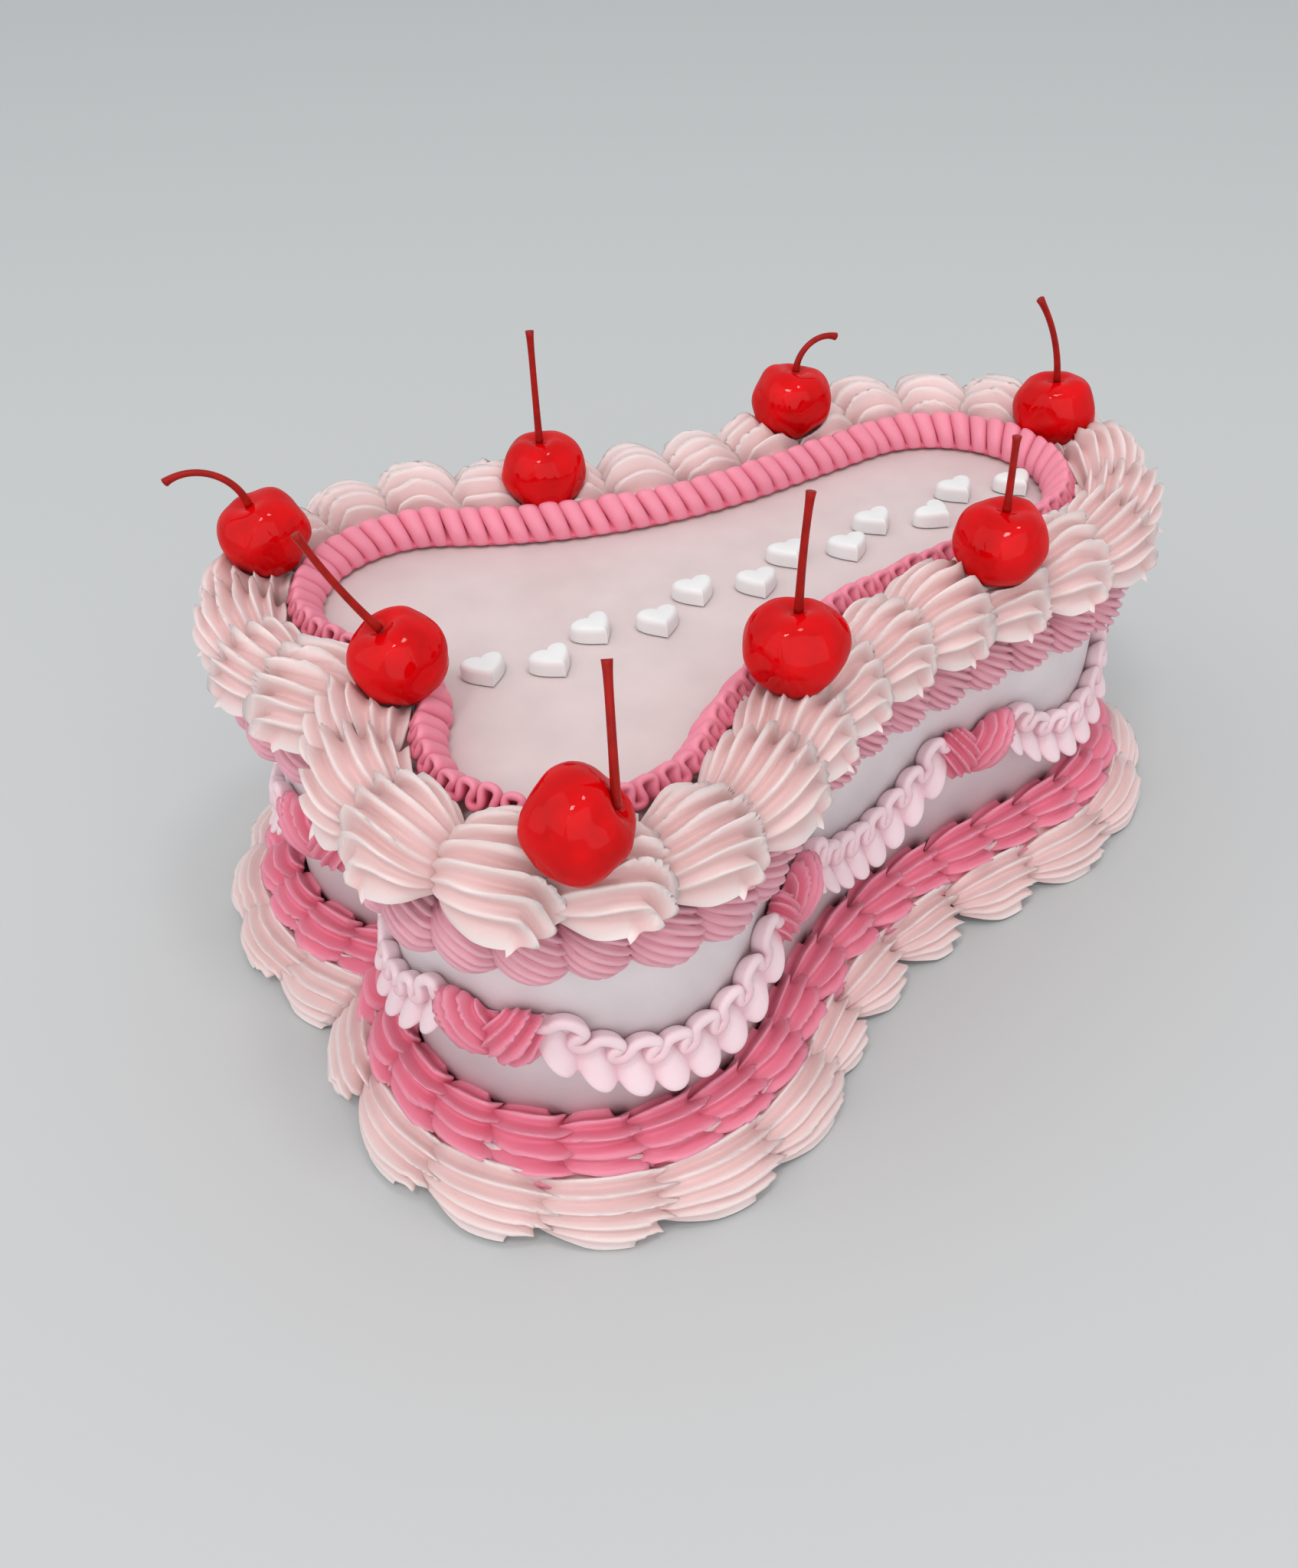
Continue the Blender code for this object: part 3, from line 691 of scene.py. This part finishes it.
def row_place(mark, backward, centre, tilt, dip, scale):
    """A function that puts a shell's point on a row beside the wall."""
    heading = -1 if backward else 1

    def put(point):
        along = scale * (point.x * math.cos(dip) + point.y * math.sin(dip))
        across = scale * (point.y * math.cos(dip) - point.x * math.sin(dip))
        rise = scale * point.z
        offset = centre[0] + across * math.cos(tilt) + rise * math.sin(tilt)
        height = centre[1] - across * math.sin(tilt) + rise * math.cos(tilt)
        return on_cake(mark + along * heading, offset, height)
    return put


def shell_row(name, look, node, row):
    """A whole row of shells round the cake."""
    shape = bmesh.new()
    pitch = 2 * HALF_LENGTH / row.count
    for mark in even_distances(row.measure, row.count):
        middle = mark + pitch / 2
        backward = middle < row.turn or middle > 2 * HALF_LENGTH - row.turn
        start = mark + pitch if backward else mark
        tilted = row.tilt + rng.uniform(-TILT_VARIES, TILT_VARIES)
        scale = rng.uniform(LEAST_SCALE, MOST_SCALE)
        put = row_place(start, backward, row.centre, tilted, row.dip, scale)
        add_shell(shape, row.style, row.columns, row.rows, put, row.drift)
    finish_piece(shape, name, look, [node])


def ribbon(shape, cut, folds, frame_at, pitch):
    """Add a folded ribbon, from its held edge to its free edge.

    Its place, its directions and the way its folds swing come from the function frame_at.
    """
    painted_shade_layer = shape.verts.layers.float.get("hollow") or shape.verts.layers.float.new("hollow")
    made = bmesh.ops.create_grid(shape, x_segments=cut.steps * folds, y_segments=RIBBON_ROWS,
                                 size=1)["verts"]
    for vert in made:
        turn = (vert.co.x + 1) / 2 * folds
        share = ((vert.co.y + 1) / 2) ** ROWS_CROWD
        wave = (1 - math.cos(math.tau * turn)) / 2
        origin, along, finger, lift = frame_at(turn / folds)
        swell = noise.noise(Vector((turn * SWELL_SCALE, folds, cut.swing_free * SWELL_APART)))
        sway = noise.noise(Vector((turn * SWAY_SCALE, SWAY_APART, folds)))
        shift = cut.pinch * math.sin(2 * math.tau * turn) - cut.crest * math.sin(math.tau * turn)
        shift += (cut.lean + UNEVEN_LEAN * sway) * wave
        swing = cut.swing_held * min(share / HELD_SHARE, 1)
        swing += (cut.swing_free - cut.swing_held) * share
        reach = cut.length * share * (1 + cut.scallop * (wave - 0.5))
        vert.co = origin + along * shift * pitch * share ** SHIFT_GROWS + finger * reach
        vert.co += lift * swing * wave * (1 + UNEVEN_SWING * swell)
        # Painted shade: darker in the troughs of the folds, less so towards the free edge.
        vert[painted_shade_layer] = (1 - wave) * (1 - TROUGH_PAINTED_SHADE_FADES * share)


def finish_ribbon(shape, name, look, node, thickness):
    """A ribbon as a piece, with its thickness and rounded edges."""
    bmesh.ops.remove_doubles(shape, verts=shape.verts, dist=TINY)
    bmesh.ops.recalc_face_normals(shape, faces=shape.faces)
    piece = finish_piece(shape, name, look, [node])
    solid = piece.modifiers.new("thickness", "SOLIDIFY")
    solid.thickness = thickness
    solid.offset = 0
    rounding = piece.modifiers.new("rounding", "SUBSURF")
    rounding.levels = 1
    rounding.render_levels = 1


def turned_towards(lift, way):
    """The direction lift, or its opposite if that is nearer to the given way."""
    return lift if lift.dot(way) > 0 else -lift


def inner_ruffle(look):
    """The folded ribbon just inside the rim, its fingers running down to the top."""
    marks = even_distances(RUFFLE_MEASURE, RUFFLE_FOLDS) + [2 * HALF_LENGTH]
    pitch = 2 * HALF_LENGTH / RUFFLE_FOLDS

    def frame_at(share):
        spot = share * RUFFLE_FOLDS
        index = min(int(spot), RUFFLE_FOLDS - 1)
        mark = marks[index] + (marks[index + 1] - marks[index]) * (spot - index)
        outward = place(mark)[1]
        along = UP.cross(outward)
        finger = (outward * RUFFLE_OUT + UP * RUFFLE_RISE + along * RUFFLE_SLANT).normalized()
        lift = turned_towards(finger.cross(along), UP)
        held = on_cake(mark, RUFFLE_OFFSET, CAKE_HEIGHT + RUFFLE_LIFT)
        return held, along, finger, lift

    shape = bmesh.new()
    ribbon(shape, RUFFLE, RUFFLE_FOLDS, frame_at, pitch)
    finish_ribbon(shape, "inner_ruffle", look, "top_ruffle", RUFFLE.thickness)


def swag(index, here, after, look):
    """A looped ruffle that hangs between two drops, over a pleated skirt."""
    start = here + SWAG_END_GAP
    end = after - SWAG_END_GAP
    pitch = (end - start) / SWAG_LOOPS

    def level(share):
        return SWAG_LEVEL - SWAG_DIP * (1 - (2 * share - 1) ** 2)

    def frame_at(share, hang):
        mark = start + (end - start) * share
        outward = place(mark)[1]
        slope = SWAG_DIP * 4 * (2 * share - 1) / (end - start)
        along = (UP.cross(outward) + UP * slope).normalized()
        finger = (outward * hang.out + UP * hang.rise).normalized()
        lift = turned_towards(finger.cross(along), UP + outward)
        return on_cake(mark, hang.offset, level(share) - hang.sink), along, finger, lift

    for kind, cut, hang in (("loops", LOOPS, LOOPS_HANG), ("skirt", SKIRT, SKIRT_HANG)):
        shape = bmesh.new()
        ribbon(shape, cut, SWAG_LOOPS, lambda share, hang=hang: frame_at(share, hang), pitch)
        finish_ribbon(shape, f"swag_{kind}_{index}", look, f"swag_{index}",
                      cut.thickness)


def drop(index, distance, look):
    """Two deep pink shells whose tails meet at the foot of a V, one over the other."""
    shape = bmesh.new()
    for side, seat in zip((-1, 1), DROP_SEATS):
        def put(point, side=side, seat=seat):
            along = side * (point.x * math.sin(DROP_SPREAD) + point.y * math.cos(DROP_SPREAD))
            rise = point.x * math.cos(DROP_SPREAD) - point.y * math.sin(DROP_SPREAD)
            return on_cake(distance + along, seat + point.z, DROP_FOOT + rise)
        add_shell(shape, DROP_STYLE, DROP_COLUMNS, DROP_ROWS, put)
    finish_piece(shape, f"drop_pair_{index}", look, [f"drop_{index}"])


def lying(middle, lean, heading):
    """Where a cherry lies and which way it leans."""
    turn = Matrix.Rotation(math.radians(heading), 4, "Z")
    return Matrix.Translation(middle) @ turn @ Matrix.Rotation(math.radians(lean), 4, "Y")


def cherry(index, spot, look):
    """A glossy cherry with a dimple and soft dents."""
    shape = bmesh.new()
    bmesh.ops.create_uvsphere(shape, u_segments=CHERRY_SIDES, v_segments=CHERRY_RINGS, radius=1)
    seed = Vector((index * DENTS_APART, 0, 0))
    for vert in shape.verts:
        ray = vert.co.normalized()
        dimple = CHERRY_DIMPLE * max(0.0, ray.z) ** DIMPLE_POWER
        dent = noise.noise(ray * BROAD_DENT_SCALE + seed) * BROAD_DENT
        dent += noise.noise(ray * FINE_DENT_SCALE + seed) * FINE_DENT
        wide = 1.0 - CHERRY_SQUASH * ray.z ** 2
        vert.co = ray * CHERRY_RADIUS * (wide - dimple + dent)
    bmesh.ops.transform(shape, matrix=spot, verts=shape.verts)
    finish_piece(shape, f"cherry_fruit_{index}", look, [f"cherry_{index}"])


def stem(index, cherry_spot, lean, heading, length, bend, look):
    """A thin stem that rises from the dimple, bends over and widens at its end."""
    shape = bmesh.new()
    root = cherry_spot @ Vector((0, 0, CHERRY_RADIUS * (1 - CHERRY_DIMPLE)))
    spot = lying(root, lean, heading)
    foot = Vector((0, 0, STEM_LIFT))
    loops = []
    for step in range(STEM_STEPS + 1):
        share = step / STEM_STEPS
        slope = math.radians(bend) * share
        girth = STEM_RADIUS * (1 + ROOT_FLARE * (1 - share) ** 3 + TIP_FLARE * share ** 12)
        front = Vector((math.cos(slope), 0, -math.sin(slope)))
        made = bmesh.ops.create_circle(shape, segments=STEM_SIDES, radius=girth)["verts"]
        for vert in made:
            vert.co = foot + front * vert.co.x + Vector((0, vert.co.y, 0))
        loops.append([edge for vert in made for edge in vert.link_edges])
        foot = foot + Vector((math.sin(slope), 0, math.cos(slope))) * length / STEM_STEPS
    for here, after in zip(loops, loops[1:]):
        bmesh.ops.bridge_loops(shape, edges=list(set(here)) + list(set(after)))
    ends = [edge for edge in shape.edges if edge.is_boundary]
    bmesh.ops.holes_fill(shape, edges=ends, sides=0)
    bmesh.ops.recalc_face_normals(shape, faces=shape.faces)
    bmesh.ops.transform(shape, matrix=spot, verts=shape.verts)
    finish_piece(shape, f"stem_{index}", look, [f"cherry_stem_{index}"])


def heart(index, low, high, look):
    """A soft fondant heart, where the frame has its plain one, drawn by the heart curve."""
    shape = bmesh.new()
    made = bmesh.ops.create_circle(shape, cap_ends=True, segments=HEART_CORNERS, radius=1)["verts"]
    for step, vert in enumerate(made):
        angle = math.tau * step / HEART_CORNERS
        wide = math.sin(angle) ** 3
        tall = (13 * math.cos(angle) - 5 * math.cos(2 * angle) - 2 * math.cos(3 * angle)) / 16
        vert.co = Vector((wide, tall + HEART_RISE, 0)) * HEART_SIZE / 2
    top = shape.faces[:]
    past = 1
    for step in range(HEART_ROUNDS + 1):
        raised = bmesh.ops.extrude_face_region(shape, geom=top)["geom"]
        bmesh.ops.delete(shape, geom=top, context="FACES_ONLY")
        top = [item for item in raised if isinstance(item, bmesh.types.BMFace)]
        lifted = [item for item in raised if isinstance(item, bmesh.types.BMVert)]
        angle = math.pi / 2 * step / HEART_ROUNDS
        shrunk = 1 - HEART_ROUNDING * (1 - math.cos(angle))
        level = HEART_THICK * (HEART_SHOULDER + (1 - HEART_SHOULDER) * math.sin(angle))
        for vert in lifted:
            vert.co = Vector((vert.co.x * shrunk / past, vert.co.y * shrunk / past, level))
        past = shrunk
    bmesh.ops.recalc_face_normals(shape, faces=shape.faces)
    middle = (low + high) / 2
    spot = Matrix.Translation((middle.x, middle.y, low.z))
    turn = Matrix.Rotation(rng.uniform(-HEART_TURN, HEART_TURN), 4, "Z")
    bmesh.ops.transform(shape, matrix=spot @ turn, verts=shape.verts)
    finish_piece(shape, f"fondant_heart_{index}", look, [f"heart_{index}"])


# The setting


def setting():
    """Pale floor, soft light all round, two broad lamps and two small ones for glints."""
    shape = bmesh.new()
    bmesh.ops.create_grid(shape, x_segments=1, y_segments=1, size=FLOOR_HALF_SIZE)
    mesh = bpy.data.meshes.new("floor")
    shape.to_mesh(mesh)
    shape.free()
    look, _, _, shader = new_look("floor_pale")
    shader.inputs["Base Color"].default_value = (*FLOOR_COLOUR, 1)
    shader.inputs["Roughness"].default_value = 0.6
    mesh.materials.append(look)
    floor = bpy.data.objects.new("floor", mesh)
    bpy.context.scene.collection.objects.link(floor)

    bpy.context.scene.view_settings.view_transform = "Standard"
    world = bpy.data.worlds.new("soft_room")
    bpy.context.scene.world = world
    world.use_nodes = True
    room = world.node_tree.nodes["Background"]
    room.inputs["Color"].default_value = (*ROOM_COLOUR, 1)
    room.inputs["Strength"].default_value = ROOM_STRENGTH
    for name, spot, size, power in LAMPS:
        lamp = bpy.data.lights.new(name, "AREA")
        lamp.size = size
        lamp.energy = power
        light = bpy.data.objects.new(name, lamp)
        light.location = spot
        aim = Vector(LAMP_AIM) - Vector(spot)
        light.rotation_euler = aim.to_track_quat("-Z", "Y").to_euler()
        bpy.context.scene.collection.objects.link(light)


def camera():
    """The camera at the photograph's place."""
    data = bpy.data.cameras.new("camera")
    data.lens = CAMERA_LENS
    data.sensor_width = SENSOR_WIDTH
    data.sensor_fit = "AUTO"
    data.clip_start = NEAR_CLIP
    view = bpy.data.objects.new("camera", data)
    view.location = CAMERA_PLACE
    view.rotation_euler = [math.radians(angle) for angle in CAMERA_TURN]
    bpy.context.scene.collection.objects.link(view)
    bpy.context.scene.camera = view


def shell_rows(deep):
    """The four rows of shells, from the top down, and the ruffle inside the rim."""
    pale = icing("pale_buttercream", PALE_COLOUR, painted_shade=PALE_PAINTED_SHADE)
    middle = icing("middle_buttercream", MIDDLE_COLOUR)
    shell_row("rim_shells", pale, "top_shell_border", RIM_ROW)
    shell_row("side_shells", middle, "side_shell_border", SIDE_ROW)
    shell_row("foot_shells_upper", deep, "base_shells_upper", FOOT_UPPER_ROW)
    shell_row("foot_shells_lower", pale, "base_shells_lower", FOOT_LOWER_ROW)
    inner_ruffle(icing("rose_buttercream", ROSE_COLOUR, painted_shade=ROSE_PAINTED_SHADE))


def wall_piping(deep):
    """The drops round the wall, and a swag from each to the next."""
    light = icing("swag_buttercream", SWAG_COLOUR, painted_shade=SWAG_PAINTED_SHADE)
    spread = DROP_LAST - DROP_FIRST
    drops = [DROP_FIRST + spread * index / (DROPS - 1) for index in range(DROPS)]
    following = drops[1:] + [DROP_FIRST + 2 * HALF_LENGTH]
    for index, (here, after) in enumerate(zip(drops, following), start=1):
        drop(index, here, deep)
        swag(index, here, after, light)


def toppings():
    """Cherries with their stems, and the fondant hearts."""
    skin = cherry_skin()
    stalk = stem_skin()
    cherries = zip(CHERRY_PLACES, CHERRY_LEANS, STEMS)
    for index, (middle_at, lean, stem_shape) in enumerate(cherries, start=1):
        spot = lying(middle_at, *lean)
        cherry(index, spot, skin)
        stem(index, spot, *stem_shape, stalk)
    fondant = icing("white_fondant", FONDANT_COLOUR, pores=0.0, drag=0.2)
    for index in range(1, HEARTS + 1):
        heart(index, *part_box(f"heart_{index}"), fondant)


def main():
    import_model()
    camera()
    setting()
    cake_body(cake_look())
    deep = icing("deep_buttercream", DEEP_COLOUR, painted_shade=DEEP_PAINTED_SHADE)
    shell_rows(deep)
    wall_piping(deep)
    toppings()


main()
